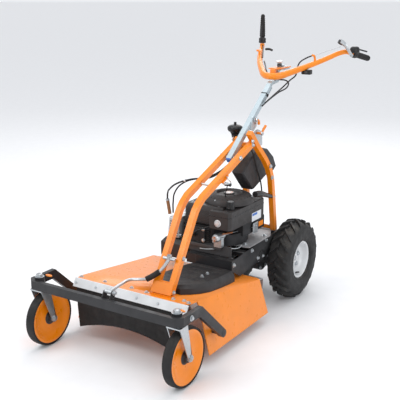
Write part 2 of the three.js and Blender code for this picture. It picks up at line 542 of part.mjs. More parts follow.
// ---------------------------------------------------------------- engine
{
  const { x, y, floor } = ENGINE;
  const around = (rx, ry, n) => Array.from({ length: n }, (_, i) => {
    const a = 2 * Math.PI * (i + 0.5) / n;
    return [x + rx * Math.cos(a), y + ry * Math.sin(a)];
  });
  const level = (outline, z, grow = 1) => outline.map(([px, py]) =>
    [x + (px - x) * grow, y + (py - y) * grow, z]);
  const blower = plate([[150, -330], [196, -330], [204, -300], [204, -140], [190, -126],
    [120, -126]], 378, 433.5);
  const block = (z) => plate([[-62, -426], [-50, -436], [96, -436], [104, -426], [104, -200],
    [-30, -200], [-62, -232]], z, 431);
  add("engine_base", fuse(plate(around(86, 104, 16), floor, 392), block(351), blower), BLACK);
  const housing = [[-44, -436], [148, -436], [148, -170], [120, -152], [-14, -152], [-60, -200],
    [-60, -416]];
  add("engine_shroud", skin([level(housing, 434.5, 0.94), level(housing, 446), level(housing, 506),
    level(housing, 526, 0.93)]), BLACK);
  add("starter_cover", turned([[0, 527], [112, 527], [114, 540], [100, 556], [60, 569], [56, 565],
    [24, 567], [0, 567]], "z", 32, x, y), PLASTIC);
  add("air_filter_cover", plate([[98, -463], [194, -463], [205, -450], [205, -150], [194, -136],
    [150, -136], [150, -437], [98, -437]], 434, 519), PLASTIC);
  add("carburettor", fuse(rod(17, -478, -416, "y", 16, 138, 0, 396), box(122, 160, -462, -440, 352,
    398), rod(9, 112, 124, "x", 12, 0, -450, 372)), SILVER);
  add("muffler", skin([[-468, 6], [-462, 0], [-376, 0], [-370, 6]].map(([py, k]) =>
    [[-132 + k, 356 + k], [-64 - k, 356 + k], [-64 - k, 458 - k], [-122 + k, 458 - k]]
      .map(([px, pz]) => [px, py, pz]))), SILVER);
  add("side_cover", fuse(skin([[262, 0], [330, 0], [350, 16]].map(([z, k]) => [[-165 + k, -470 + k],
    [-40 - k, -470 + k], [-30 - k, -455 + k], [-30 - k, -352 - k], [-165 + k, -352 - k]]
    .map(([px, py]) => [px, py, z]))), box(-36, 35.4, -440, -400, 282, 304)), PLASTIC);
}

// ---------------------------------------------------------------- height lever, starter handle
{
  add("height_lever", fuse(rod(9, 6.5, 39.5, "x", 16, 0, LEVER.y, LEVER.z),
    sweep([[24, LEVER.y, LEVER.z], [20, -1010, 333], [14, -942, 330], [40, -905, 325],
      [66, -890, 328], [108, -858, 360], [132, -826, 408]], 7, 8, 26),
    rod(7, 103, 161, "x", 12, 0, -826, 408)), ZINC);
  add("height_lever_grip", cut(sweep([[62, -892, 326], [84, -878, 340], [106, -860, 358]], 12, 12, 6),
    sweep([[20, -918, 318], [62, -892, 326], [84, -878, 340], [106, -860, 358], [124, -840, 382]],
      9.4, 10, 12)), RUBBER);
  add("starter_handle", rod(9, 166, 196, "x", 14, 0, -444, 644), PLASTIC);
}

machine.updateMatrixWorld(true);
export default machine;
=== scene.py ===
import json
import math

import bmesh
import bpy
from mathutils import Matrix, Vector


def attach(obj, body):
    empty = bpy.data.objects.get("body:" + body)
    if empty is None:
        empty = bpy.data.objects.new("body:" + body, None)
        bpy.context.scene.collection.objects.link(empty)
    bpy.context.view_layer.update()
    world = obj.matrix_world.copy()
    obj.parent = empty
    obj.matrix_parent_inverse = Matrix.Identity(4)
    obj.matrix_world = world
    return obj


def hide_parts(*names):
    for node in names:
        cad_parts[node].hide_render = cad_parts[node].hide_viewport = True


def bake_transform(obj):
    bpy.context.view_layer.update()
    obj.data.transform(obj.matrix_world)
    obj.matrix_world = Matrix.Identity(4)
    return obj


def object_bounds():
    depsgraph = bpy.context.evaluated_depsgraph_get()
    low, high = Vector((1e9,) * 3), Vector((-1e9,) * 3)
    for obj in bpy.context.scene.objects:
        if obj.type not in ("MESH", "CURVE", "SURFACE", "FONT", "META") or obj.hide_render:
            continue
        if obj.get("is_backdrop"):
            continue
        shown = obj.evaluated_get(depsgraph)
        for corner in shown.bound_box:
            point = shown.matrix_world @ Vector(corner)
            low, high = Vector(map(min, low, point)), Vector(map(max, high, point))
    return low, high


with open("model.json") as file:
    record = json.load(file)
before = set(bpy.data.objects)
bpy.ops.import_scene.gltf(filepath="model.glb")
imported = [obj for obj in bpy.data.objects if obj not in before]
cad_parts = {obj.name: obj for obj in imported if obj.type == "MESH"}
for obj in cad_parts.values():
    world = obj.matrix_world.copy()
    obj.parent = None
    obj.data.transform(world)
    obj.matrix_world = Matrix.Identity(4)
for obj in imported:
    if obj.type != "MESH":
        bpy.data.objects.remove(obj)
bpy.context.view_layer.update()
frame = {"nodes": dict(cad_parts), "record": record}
NODES = frame["nodes"]

# The layout's origin lies under the wheel axle; these offsets, in mm, put it in the part's frame.
SHIFT_X, SHIFT_Y = -26, 305
# Middle plane of the drive wheels, the handle frame and the column.
CENTRE_X = 132


def at(x, y, z):
    """A layout point in mm as a point of the part's frame in metres."""
    return Vector(((x + SHIFT_X) / 1000, (y + SHIFT_Y) / 1000, z / 1000))


# ---------------------------------------------------------------- materials
def surface(name, color, rough, metal=0.0, fine=900.0, grain=0.25, depth=0.0003, vary=0.12,
            dust=0.0, wear=0.0, coat=0.0, spangle=0.0, stretch=(1, 1, 1)):
    """Principled material with mottled colour, uneven gloss, grain bump, dust on top and worn edges."""
    m = bpy.data.materials.new(name)
    m.use_nodes = True
    tree = m.node_tree
    shader = tree.nodes["Principled BSDF"]
    new, link = tree.nodes.new, tree.links.new
    coord = new("ShaderNodeTexCoord")
    mapping = new("ShaderNodeMapping")
    mapping.inputs["Scale"].default_value = stretch
    link(coord.outputs["Object"], mapping.inputs["Vector"])

    def noise(scale, detail=5.0):
        node = new("ShaderNodeTexNoise")
        node.inputs["Scale"].default_value = scale
        node.inputs["Detail"].default_value = detail
        link(mapping.outputs["Vector"], node.inputs["Vector"])
        return node.outputs["Fac"]

    def ramp(value, low, high, to_low, to_high):
        node = new("ShaderNodeMapRange")
        for key, v in (("From Min", low), ("From Max", high), ("To Min", to_low), ("To Max", to_high)):
            node.inputs[key].default_value = v
        link(value, node.inputs["Value"])
        return node.outputs["Result"]

    def mix(factor, a, b):
        node = new("ShaderNodeMix")
        node.data_type = "RGBA"
        for socket, v in ((node.inputs[6], a), (node.inputs[7], b)):
            if hasattr(v, "links"):
                link(v, socket)
            else:
                socket.default_value = (*v, 1)
        link(factor, node.inputs[0])
        return node.outputs[2]

    dark = [c * (1 - vary) for c in color]
    light = [min(1, c * (1 + vary)) for c in color]
    shade = mix(ramp(noise(14), 0.35, 0.65, 0, 1), dark, light)
    rough_out = ramp(noise(38), 0.3, 0.7, max(0.04, rough - 0.08), min(1, rough + 0.12))
    if spangle:
        cells = new("ShaderNodeTexVoronoi")
        cells.inputs["Scale"].default_value = 160
        link(mapping.outputs["Vector"], cells.inputs["Vector"])
        tone = new("ShaderNodeSeparateColor")
        link(cells.outputs["Color"], tone.inputs["Color"])
        shade = mix(ramp(tone.outputs["Red"], 0, 1, 0, spangle), shade, [c * 0.6 for c in color])
    if wear:
        geometry = new("ShaderNodeNewGeometry")
        shade = mix(ramp(geometry.outputs["Pointiness"], 0.53, 0.6, 0, wear), shade,
                    [min(1, c * 0.6 + 0.3) for c in color])
    if dust:
        facing = new("ShaderNodeNewGeometry")
        split = new("ShaderNodeSeparateXYZ")
        link(facing.outputs["Normal"], split.inputs["Vector"])
        up = ramp(split.outputs["Z"], 0.2, 1.0, 0, 1)
        patch = ramp(noise(22, 8), 0.45, 0.75, 0, dust)
        both = new("ShaderNodeMath")
        both.operation = "MULTIPLY"
        link(up, both.inputs[0])
        link(patch, both.inputs[1])
        shade = mix(both.outputs[0], shade, (0.42, 0.38, 0.32))
    link(shade, shader.inputs["Base Color"])
    link(rough_out, shader.inputs["Roughness"])
    bump = new("ShaderNodeBump")
    bump.inputs["Strength"].default_value = grain
    bump.inputs["Distance"].default_value = depth
    link(noise(fine, 3), bump.inputs["Height"])
    link(bump.outputs["Normal"], shader.inputs["Normal"])
    shader.inputs["Metallic"].default_value = metal
    shader.inputs["Coat Weight"].default_value = coat
    shader.inputs["Specular IOR Level"].default_value = 0.4
    shader.inputs["Coat Roughness"].default_value = 0.12
    return m


ORANGE = surface("orange_powder_coat", (0.86, 0.235, 0.001), 0.32, fine=260, grain=0.05, vary=0.04,
                 coat=0.25, wear=0.12)
BLACK_PAINT = surface("black_powder_coat", (0.017, 0.017, 0.019), 0.42, fine=800, grain=0.2,
                      vary=0.2, wear=0.25, dust=0.06)
CAST = surface("dark_casting", (0.03, 0.03, 0.032), 0.55, metal=0.4, fine=420, grain=0.6, depth=0.0006,
               vary=0.25, dust=0.15)
PLASTIC = surface("grained_plastic", (0.024, 0.022, 0.023), 0.5, fine=1500, grain=0.45, vary=0.15,
                  dust=0.08)
SHROUD = surface("engine_plastic", (0.032, 0.029, 0.029), 0.46, fine=1700, grain=0.4, vary=0.15,
                 dust=0.05)
SMOOTH = surface("smooth_plastic", (0.012, 0.012, 0.013), 0.28, fine=1200, grain=0.1, vary=0.15)
RUBBER = surface("soft_rubber", (0.013, 0.012, 0.012), 0.72, fine=600, grain=0.5, vary=0.25, dust=0.1)
TYRE = surface("tyre_rubber", (0.02, 0.0195, 0.0195), 0.68, fine=420, grain=0.55, depth=0.0005,
               vary=0.3, dust=0.22)
ZINC = surface("zinc_plate", (0.56, 0.59, 0.61), 0.36, metal=0.9, fine=500, grain=0.1, vary=0.08,
               spangle=0.28)
COLUMN = surface("column_zinc", (0.52, 0.60, 0.64), 0.42, metal=0.75, fine=500, grain=0.08, vary=0.06,
                 spangle=0.16)
STEEL = surface("turned_steel", (0.45, 0.46, 0.47), 0.3, metal=1.0, fine=900, grain=0.2, vary=0.15,
                stretch=(1, 1, 8))
SILVER = surface("silver_paint", (0.68, 0.69, 0.70), 0.4, metal=0.35, fine=800, grain=0.12, vary=0.06,
                 dust=0.12)
GREY = surface("grey_plate", (0.33, 0.33, 0.34), 0.5, metal=0.3, fine=600, grain=0.2, vary=0.15, dust=0.1)
BRONZE = surface("sintered_sleeve", (0.34, 0.16, 0.07), 0.45, metal=0.5, fine=500, grain=0.3)
COPPER = surface("copper_wire", (0.66, 0.27, 0.12), 0.35, metal=0.9, fine=700, grain=0.15)
WHITE = surface("label_white", (0.72, 0.74, 0.77), 0.45, fine=900, grain=0.05, vary=0.04)
BLUE = surface("blue_plug", (0.05, 0.16, 0.5), 0.4, fine=900, grain=0.1, vary=0.08)

# ---------------------------------------------------------------- mesh helpers
def publish(bm, name, look, body, bevel=0.0, angle=35, subdivide=0, stands_for=()):
    """Turns a bmesh into a named, shaded piece that rides on a CAD body."""
    bmesh.ops.remove_doubles(bm, verts=bm.verts, dist=1e-6)
    bmesh.ops.recalc_face_normals(bm, faces=bm.faces)
    mesh = bpy.data.meshes.new(name)
    bm.to_mesh(mesh)
    bm.free()
    mesh.shade_smooth()
    mesh.set_sharp_from_angle(angle=math.radians(angle))
    o = bpy.data.objects.new(name, mesh)
    bpy.context.scene.collection.objects.link(o)
    mesh.materials.append(look)
    if bevel:
        edge = o.modifiers.new("edge", "BEVEL")
        edge.width = bevel / 1000
        edge.segments = 2
        edge.angle_limit = math.radians(32)
        edge.harden_normals = True
    if subdivide:
        sub = o.modifiers.new("smooth", "SUBSURF")
        sub.levels = sub.render_levels = subdivide
    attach(o, body)
    if stands_for:
        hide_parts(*stands_for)
    return o


def turn(axis, r, h, a):
    """The offset of a point r away from an axis and h along it, at angle a."""
    c, s = r * math.cos(a), r * math.sin(a)
    return {"x": (h, c, s), "y": (c, h, s), "z": (c, s, h)}[axis]


def lathe_into(bm, profile, axis, centre, segments=64, closed=False):
    """Revolves (radius, height) pairs about the axis through centre, in layout mm."""
    rings = []
    for r, h in profile:
        ring = []
        for i in range(segments):
            p = turn(axis, r, h, 2 * math.pi * i / segments)
            ring.append(bm.verts.new(at(*(c + d for c, d in zip(centre, p)))))
        rings.append(ring)
    pairs = list(zip(rings, rings[1:]))
    if closed:
        pairs.append((rings[-1], rings[0]))
    for a, b in pairs:
        for i in range(segments):
            j = (i + 1) % segments
            bm.faces.new((a[i], a[j], b[j], b[i]))


def lathe(name, profile, axis, centre, look, body, segments=64, closed=False, **k):
    bm = bmesh.new()
    lathe_into(bm, profile, axis, centre, segments, closed)
    return publish(bm, name, look, body, **k)


def loft_into(bm, rings):
    """Skins a row of rings, each with as many layout points, and caps both ends."""
    rows = [[bm.verts.new(at(*p)) for p in ring] for ring in rings]
    n = len(rows[0])
    for a, b in zip(rows, rows[1:]):
        for i in range(n):
            bm.faces.new((a[i], a[(i + 1) % n], b[(i + 1) % n], b[i]))
    bm.faces.new(rows[0])
    bm.faces.new(rows[-1][::-1])


def loft(name, rings, look, body, **k):
    bm = bmesh.new()
    loft_into(bm, rings)
    return publish(bm, name, look, body, **k)


def prism(name, outline, axis, low, high, look, body, **k):
    """Outline in the plane across the axis, from low to high along it, all in layout mm."""
    order = {"x": lambda a, b, h: (h, a, b), "y": lambda a, b, h: (a, h, b),
             "z": lambda a, b, h: (a, b, h)}[axis]
    return loft(name, [[order(a, b, h) for a, b in outline] for h in (low, high)], look, body, **k)


def brick(x0, x1, y0, y1, z0, z1):
    """The two rings of a box, to loft."""
    return [[(x0, y0, z), (x1, y0, z), (x1, y1, z), (x0, y1, z)] for z in (z0, z1)]


def curve(name, points, radius, look, body, cyclic=False, stands_for=(), smooth=True, radii=None):
    """Round bar, cable or wire through layout points in mm."""
    data = bpy.data.curves.new(name, "CURVE")
    data.dimensions = "3D"
    data.bevel_depth = radius / 1000
    data.bevel_resolution = 5
    data.use_fill_caps = True
    data.resolution_u = 10
    spline = data.splines.new("BEZIER" if smooth else "POLY")
    bag = spline.bezier_points if smooth else spline.points
    bag.add(len(points) - 1)
    for i, (slot, p) in enumerate(zip(bag, points)):
        if smooth:
            slot.co = at(*p)
            slot.handle_left_type = slot.handle_right_type = "AUTO"
        else:
            slot.co = (*at(*p), 1)
        slot.radius = radii[i] if radii else 1
    spline.use_cyclic_u = cyclic
    data.materials.append(look)
    o = bpy.data.objects.new(name, data)
    bpy.context.scene.collection.objects.link(o)
    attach(o, body)
    if stands_for:
        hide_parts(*stands_for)
    return o


def coil(name, start, end, radius, turns, wire, look, body):
    """Helical spring between two layout points."""
    a, b = Vector(start), Vector(end)
    axis = (b - a).normalized()
    side = axis.orthogonal().normalized()
    other = axis.cross(side)
    points = []
    for i in range(turns * 12 + 1):
        t = i / (turns * 12)
        w = 2 * math.pi * turns * t
        points.append(tuple(a + (b - a) * t + radius * (math.cos(w) * side + math.sin(w) * other)))
    return curve(name, points, wire, look, body, smooth=False)


BOLTS = {}


def bolt(name, where, direction, across, look, body, height=None, washer=True):
    """Hexagon-head screw with its washer, standing on a surface and pointing out along direction."""
    height = height or across * 0.42
    key = (across, height, look.name, washer)
    if key not in BOLTS:
        bm = bmesh.new()

        def disc(r, low, high, n, chamfer):
            rings = []
            for rr, z in ((r, low), (r, high - chamfer), (r - chamfer, high)):
                rings.append([bm.verts.new((rr * math.cos(2 * math.pi * i / n) / 1000,
                                            rr * math.sin(2 * math.pi * i / n) / 1000, z / 1000))
                              for i in range(n)])
            for a, b in zip(rings, rings[1:]):
                for i in range(n):
                    bm.faces.new((a[i], a[(i + 1) % n], b[(i + 1) % n], b[i]))
            bm.faces.new(rings[0][::-1])
            bm.faces.new(rings[-1])

        base = 0
        if washer:
            disc(across * 0.78, -0.4, across * 0.1, 32, across * 0.03)
            base = across * 0.1
        disc(across * 0.56, base - 0.3, base + height, 6, across * 0.07)
        disc(across * 0.3, base + height - 0.2, base + height + across * 0.12, 24, across * 0.05)
        mesh = bpy.data.meshes.new("hex_screw")
        bm.to_mesh(mesh)
        bm.free()
        mesh.shade_smooth()
        mesh.set_sharp_from_angle(angle=math.radians(30))
        mesh.materials.append(look)
        BOLTS[key] = mesh
    o = bpy.data.objects.new(name, BOLTS[key])
    bpy.context.scene.collection.objects.link(o)
    turned = Vector(direction).to_track_quat("Z", "Y").to_matrix().to_4x4()
    o.matrix_world = Matrix.Translation(at(*where)) @ turned
    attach(o, body)
    return o


# ---------------------------------------------------------------- carried-over CAD nodes
SLOT_LOOK = {"paint": ORANGE, "black_metal": BLACK_PAINT, "cast_housing": CAST, "engine_casting": CAST,
             "plastic": PLASTIC, "rubber": RUBBER, "tyre": TYRE, "zinc": ZINC, "steel": STEEL,
             "silver": SILVER, "grey": GREY}
NODE_LOOK = {"column": COLUMN, "engine_shroud": SHROUD, "air_filter_cover": SHROUD,
             "starter_cover": SHROUD, "side_cover": PLASTIC, "fuel_tank": PLASTIC,
             "carburettor": ZINC, "tank_cap": SMOOTH, "belt_cover": PLASTIC}
slots = {s["node"]: s["material_slot"] for s in frame["record"]["subparts"]}
SOFT_EDGE = {"fuel_tank": 9.0, "engine_shroud": 5.0, "air_filter_cover": 5.0, "side_cover": 4.0,
             "belt_cover": 2.5, "engine_base": 3.0, "deck_pan": 1.5, "front_frame": 1.6,
             "handle_frame": 1.8, "column": 1.4, "gearbox": 2.0}
for node, o in NODES.items():
    look = NODE_LOOK.get(node, SLOT_LOOK[slots[node]])
    o.data.materials.clear()
    o.data.materials.append(look)
    if "custom_normal" in o.data.attributes:
        o.data.attributes.remove(o.data.attributes["custom_normal"])
    o.data.shade_smooth()
    weld = o.modifiers.new("weld", "WELD")
    weld.merge_threshold = 2e-5
    edge = o.modifiers.new("edge", "BEVEL")
    edge.width = SOFT_EDGE.get(node, 0.8) / 1000
    edge.segments = 3
    edge.limit_method = "ANGLE"
    edge.angle_limit = math.radians(38)
    edge.harden_normals = True
    edge.use_clamp_overlap = True

# ---------------------------------------------------------------- drive wheels
TYRE_RADIUS = 193
WHEEL_Z = TYRE_RADIUS
LUGS = 40


def crown(h):
    """Height of the tread's carcass above the axle, h from the wheel's middle plane."""
    return 179.5 - 0.0036 * h * h


for side, s, body in (("left", 1, "left_wheel"), ("right", -1, "right_wheel")):
    hub = (CENTRE_X + 160 * s, 0, WHEEL_Z)
    bm = bmesh.new()
    profile = [(91, -44), (95, -50), (104, -52), (112, -54.5), (128, -55.6), (146, -55.5), (160, -54),
               (169, -50)]
    profile += [(crown(h), h) for h in (-44, -33, -22, -11, 0, 11, 22, 33, 44)]
    profile += [(r, -h) for r, h in profile[7::-1]]
    lathe_into(bm, profile, "x", hub, 96)
    for ring in (103, 120, 150):
        for sign in (-1, 1):
            h = sign * (52.5 if ring < 110 else 55)
            lathe_into(bm, [(ring - 1.6, h), (ring, h + sign * 0.9), (ring + 1.6, h)], "x", hub, 96)
    for i in range(LUGS):
        half = 1 if i % 2 else -1
        start = 2 * math.pi * i / LUGS
        rows = []
        for t in (0.0, 0.25, 0.5, 0.75, 0.93, 1.0):
            h = half * (-2 + 55 * t)
            a = start + s * 0.30 * t
            top = TYRE_RADIUS - 0.0031 * h * h if t < 0.9 else crown(h) + (3.5 if t < 1 else -6)
            low = crown(h) - 4 if t < 1 else crown(h) - 9
            row = []
            for r, w in ((low, 10.5), (top, 6.8), (top, -6.8), (low, -10.5)):
                p = turn("x", r, h, a + w / 190)
                row.append(tuple(c + d for c, d in zip(hub, p)))
            rows.append(row)
        loft_into(bm, rows)
    publish(bm, f"tyre_tread_{side}", TYRE, body, angle=40, stands_for=(f"tyre_{side}",))

    face = [(12, 11.5), (13, 15), (22, 15.5), (25, 13.5), (27, 9), (44, 7.5), (56, 5), (64, 6.5),
            (71, 11), (76, 22), (80, 36), (83, 42), (88, 44.6), (90.6, 43.6), (90.6, 41.5), (86, 40),
            (82, 30), (81, 0), (82, -30), (86, -40), (90.6, -41.5), (90.6, -43.6), (87, -44),
            (81, -40), (78.5, -30), (77.5, -6), (70, 3), (60, -1), (44, 2), (24, -7), (12, -7.6)]
    lathe(f"wheel_disc_{side}", [(r, s * h) for r, h in face], "x", hub, SILVER, body, 96, closed=True,
          stands_for=(f"rim_{side}",))
    out = (s, 0, 0)
    for i in range(5):
        a = 2 * math.pi * i / 5 + 0.3
        bolt(f"wheel_nut_{side}_{i + 1}", (hub[0] + s * 7.2, 42 * math.cos(a),
                                           WHEEL_Z + 42 * math.sin(a)), out, 17, ZINC, body)
    lathe(f"hub_cap_{side}", [(0, s * 15.9), (9, s * 15.9), (11, s * 14), (11, s * 8), (0, s * 8)], "x",
          hub, STEEL, body, 40)
    curve(f"valve_{side}", [(hub[0] + s * 18, 0, WHEEL_Z - 74), (hub[0] + s * 28, 0, WHEEL_Z - 70),
                            (hub[0] + s * 38, 0, WHEEL_Z - 68)], 3.4, RUBBER, body)

# ---------------------------------------------------------------- casters
CASTER_X, CASTER_Y, CASTER_RADIUS = 344, -1043, 121
SWIVEL_Y = -1087
for side, s in (("left", 1), ("right", -1)):
    fork, wheel = f"{side}_fork", f"{side}_caster"
    hub = (s * CASTER_X, CASTER_Y, CASTER_RADIUS)
    lathe(f"caster_tread_{side}", [(110.5, -18), (112, -20.5), (116, -21.4), (119.5, -18),
                                   (120.8, -9), (121, 0), (120.8, 9), (119.5, 18), (116, 21.4),
                                   (112, 20.5), (110.5, 18)], "x", hub, RUBBER, wheel, 96, closed=True,
          stands_for=(f"caster_tyre_{side}",))
    dish = [(28, 8.2), (34, 6.4), (60, 5), (76, 6.5), (90, 12), (98, 17), (104, 19), (109.5, 18.5),
            (109.5, -18.5), (104, -19), (98, -17), (90, -12), (76, -6.5), (60, -5), (34, -6.4), (28, -8.2)]
    lathe(f"caster_hub_{side}", dish, "x", hub, ORANGE, wheel, 96, closed=True,
          stands_for=(f"caster_disc_{side}",))
    lathe(f"caster_bearing_{side}", [(8.2, 25.4), (17, 25.4), (19.5, 23), (21, 14), (26, 9.4), (31, 8.2),
                                     (31, -8.2), (26, -9.4), (21, -14), (19.5, -23), (17, -25.4),
                                     (8.2, -25.4)], "x", hub, BLACK_PAINT, wheel, 64, closed=True)
    tab = (341, -1052) if side == "left" else (-331, -1045)
    rings = []
    for z, grow in ((309, 1), (312.4, 1), (314, 0.8)):
        rings.append([(tab[0] + grow * 17 * math.cos(b), tab[1] + grow * 8 * math.sin(b), z)
                      for b in (2 * math.pi * j / 32 for j in range(32))])
    loft(f"lock_tab_{side}", rings, ORANGE, "front_frame")
    bolt(f"beam_side_screw_{side}", (s * 381, -1045, 288), (s, 0, 0), 15, ZINC, "front_frame")
    for face in (-1, 1):
        bolt(f"caster_axle_nut_{side}_{'out' if face > 0 else 'in'}", (hub[0] + face * 31.2, hub[1], hub[2]),
             (face, 0, 0), 19, STEEL, fork, height=5)
        coil(f"caster_dust_cap_{side}_{'out' if face > 0 else 'in'}", (hub[0] + face * 25.5, hub[1], hub[2]),
             (hub[0] + face * 26.5, hub[1], hub[2]), 13, 1, 1.1, ZINC, fork)
    lathe(f"swivel_cap_{side}", [(0, 333), (7, 332.4), (11, 330), (12.5, 329.2), (0, 329.2)], "z",
          (hub[0], SWIVEL_Y, 0), STEEL, fork, 40)
    lathe(f"swivel_washer_{side}", [(9, 318.2), (19.5, 318.2), (20, 318.9), (9, 319)], "z",
          (hub[0] - s, SWIVEL_Y, 0), ZINC, "front_frame", 48, closed=True)

# ---------------------------------------------------------------- engine
CRANK = (105, -302, 0)
dome = [(0, 566.5), (22, 566.5), (25, 565), (26.5, 560), (52, 558), (55, 564), (60, 568.6), (72, 566.5),
        (92, 559), (103, 552.5), (110, 543), (113.5, 533), (113.8, 527.2), (0, 527.2)]
lathe("recoil_dome", dome, "z", CRANK, SHROUD, "machine", 96, stands_for=("starter_cover",))
for i in range(28):
    a = 2 * math.pi * i / 28
    u, v = Vector((math.cos(a), math.sin(a), 0)), Vector((-math.sin(a), math.cos(a), 0))
    rings = []
    for z in (553, 571):
        ring = []
        for r, w in ((66, -2.6), (98, -3.8), (98, 3.8), (66, 2.6)):
            p = Vector(CRANK) + r * u + w * v
            drop = 0.0 if z < 560 else (r - 66) * 0.38
            ring.append((p.x, p.y, (z if z < 560 else 568.4) - drop + (0 if z > 560 else -2)))
        rings.append(ring)
    loft(f"dome_slot_{i + 1}", rings, RUBBER, "machine", bevel=0.4)
for r, z in ((76, 565.0), (84, 562.2), (92, 559.2), (100, 554.6)):
    lathe(f"dome_ring_{r}", [(r - 1.6, z - 1), (r, z + 1.3), (r + 1.6, z - 1.6)], "z", CRANK, SHROUD,
          "machine", 96, closed=True)
for i in range(3):
    a = 2 * math.pi * i / 3 + 0.4
    bolt(f"recoil_screw_{i + 1}", (CRANK[0] + 118 * math.cos(a) * 0.86,
                                   CRANK[1] + 118 * math.sin(a) * 0.86, 547),
         (0.5 * math.cos(a), 0.5 * math.sin(a), 1), 9, ZINC, "machine")
lathe("dome_label", [(0, 567.2), (20, 567.2), (20.8, 566.7), (20.8, 566), (0, 566)], "z", CRANK, SILVER,
      "machine", 64)
lathe("dome_label_ring", [(13.5, 567.1), (15.5, 567.6), (17.5, 567.1), (15.5, 566.6)], "z", CRANK,
      ORANGE, "machine", 64, closed=True)

# air filter cover and shroud: band, badge, plain labels, screws and ribs
prism("filter_cover_band", [(97, -464), (195, -464), (206, -451), (206, -149), (195, -135), (149, -135),
                            (149, -138), (194, -138), (203.4, -150), (203.4, -450), (194, -461.4),
                            (97, -461.4)], "z", 492, 496, SMOOTH, "machine", bevel=0.6)
lathe("filter_badge", [(0, -466.4), (14, -466.4), (15.5, -465.4), (16.5, -464.4), (16.5, -463), (0, -463)],
      "y", (141, 0, 464), SILVER, "machine", 64)
lathe("filter_badge_ring", [(11, -466.3), (12.2, -466.9), (13.4, -466.3), (12.2, -465.7)], "y",
      (141, 0, 464), STEEL, "machine", 64, closed=True)
loft("side_label", brick(204.9, 205.5, -264, -176, 430, 470), WHITE, "machine", bevel=0.2)
loft("side_label_small", brick(204.1, 204.8, -196, -152, 390, 414), ORANGE, "machine", bevel=0.2)
loft("shroud_label", brick(96, 130, -437.4, -436.2, 458, 468), SILVER, "machine", bevel=0.2)
for i, (x, y) in enumerate(((-30, -420), (120, -420), (136, -186), (-30, -196))):
    bolt(f"shroud_screw_{i + 1}", (x * 0.93 + 5, y * 0.93 - 18, 525.6), (0, 0, 1), 10, ZINC, "machine")
for i in range(9):
    z = 446 + 7 * i
    loft(f"shroud_rib_{i + 1}", brick(-52, 96, -437.6, -435.6, z, z + 2.6), SHROUD, "machine", bevel=0.6)

# cooling fins on the cylinder, seen under the shroud at the front
for i in range(7):
    z = 362 + 9.5 * i
    loft(f"cylinder_fin_{i + 1}", brick(-52, 88, -447, -430, z, z + 3), CAST, "machine", bevel=0.6)
loft("cylinder_head", brick(-30, 66, -452, -440, 360, 428), CAST, "machine", bevel=2)
for i, (x, z) in enumerate(((-22, 368), (58, 368), (-22, 420), (58, 420))):
    bolt(f"head_screw_{i + 1}", (x, -452, z), (0, -1, 0), 11, ZINC, "machine")
curve("spark_lead", [(18, -456, 392), (20, -474, 396), (34, -480, 412), (66, -468, 430), (92, -446, 440)],
      3.5, SMOOTH, "machine")
lathe("spark_cap", [(0, -470), (7, -470), (8.5, -466), (8.5, -456), (6.5, -451), (0, -451)], "y",
      (18, 0, 392), SMOOTH, "machine", 32)

loft("engine_front_panel", brick(-28, 200, -441, -437, 306.8, 356), BLACK_PAINT, "machine", bevel=1.5)
loft("engine_front_channel", brick(-20, 150, -456, -441.4, 338, 352), BLACK_PAINT, "machine", bevel=2)
curve("brake_rod", [(60, -484, 340), (88, -472, 338), (150, -410, 336), (198, -360, 334), (204, -356, 346)],
      2.6, ZINC, "machine")
loft("side_label_stripe", brick(205.2, 205.9, -260, -214, 456, 467), BLUE, "machine", bevel=0.2)

# muffler behind its slotted guard
GUARD = surface("guard_metal", (0.5, 0.52, 0.53), 0.38, metal=0.6, fine=500, grain=0.15, vary=0.15, wear=0.3)
shell = [[(-131 + k, y, 357 + k), (-65 - k, y, 357 + k), (-65 - k, y, 457 - k), (-121 + k, y, 457 - k)]
         for y, k in ((-467, 7), (-461, 1), (-377, 1), (-371, 7))]
loft("muffler_guard", shell, GUARD, "machine", bevel=4, stands_for=("muffler",))
for column in range(2):
    for row in range(7):
        x = -112 + 25 * column
        z = 368 + 11 * row
        rings = [[(x, y, z), (x + 17, y, z), (x + 17, y, z + 5), (x, y, z + 5)] for y in (-468, -465)]
        loft(f"guard_slot_{column + 1}_{row + 1}", rings, BLACK_PAINT, "machine", bevel=1.8)
for i, (y, z) in enumerate(((-452, 372), (-388, 372), (-452, 440), (-388, 440))):
    bolt(f"guard_screw_{i + 1}", (-65.3, y, z), (1, 0, 0), 9, ZINC, "machine")
curve("cable_sleeve", [(-150, -412, 450), (-157, -411, 484), (-164, -410, 515)], 8, BRONZE, "machine")
curve("cable_sleeve_cap", [(-163.6, -410, 512), (-165.6, -410, 521)], 9.4, ZINC, "machine", smooth=False)
curve("engine_cable_far", [(-165, -410, 519), (-150, -428, 556), (-118, -456, 586), (-66, -474, 622),
                           (0, -464, 647), (60, -434, 657), (106, -382, 682), (127, -352, 708)], 4.2,
      SMOOTH, "machine")
curve("engine_cable_near", [(-112, -441, 470), (-104, -452, 520), (-78, -472, 582), (-34, -472, 628),
                            (22, -452, 650), (70, -420, 654), (112, -370, 684), (131, -348, 706)], 3.6,
      SMOOTH, "machine")
for i, (a, b) in enumerate((((-30, -471, 638), (-22, -470, 641)), ((30, -449, 653), (38, -446, 654)))):
    curve(f"cable_clip_{i + 1}", [a, b], 6, SILVER, "machine", smooth=False)

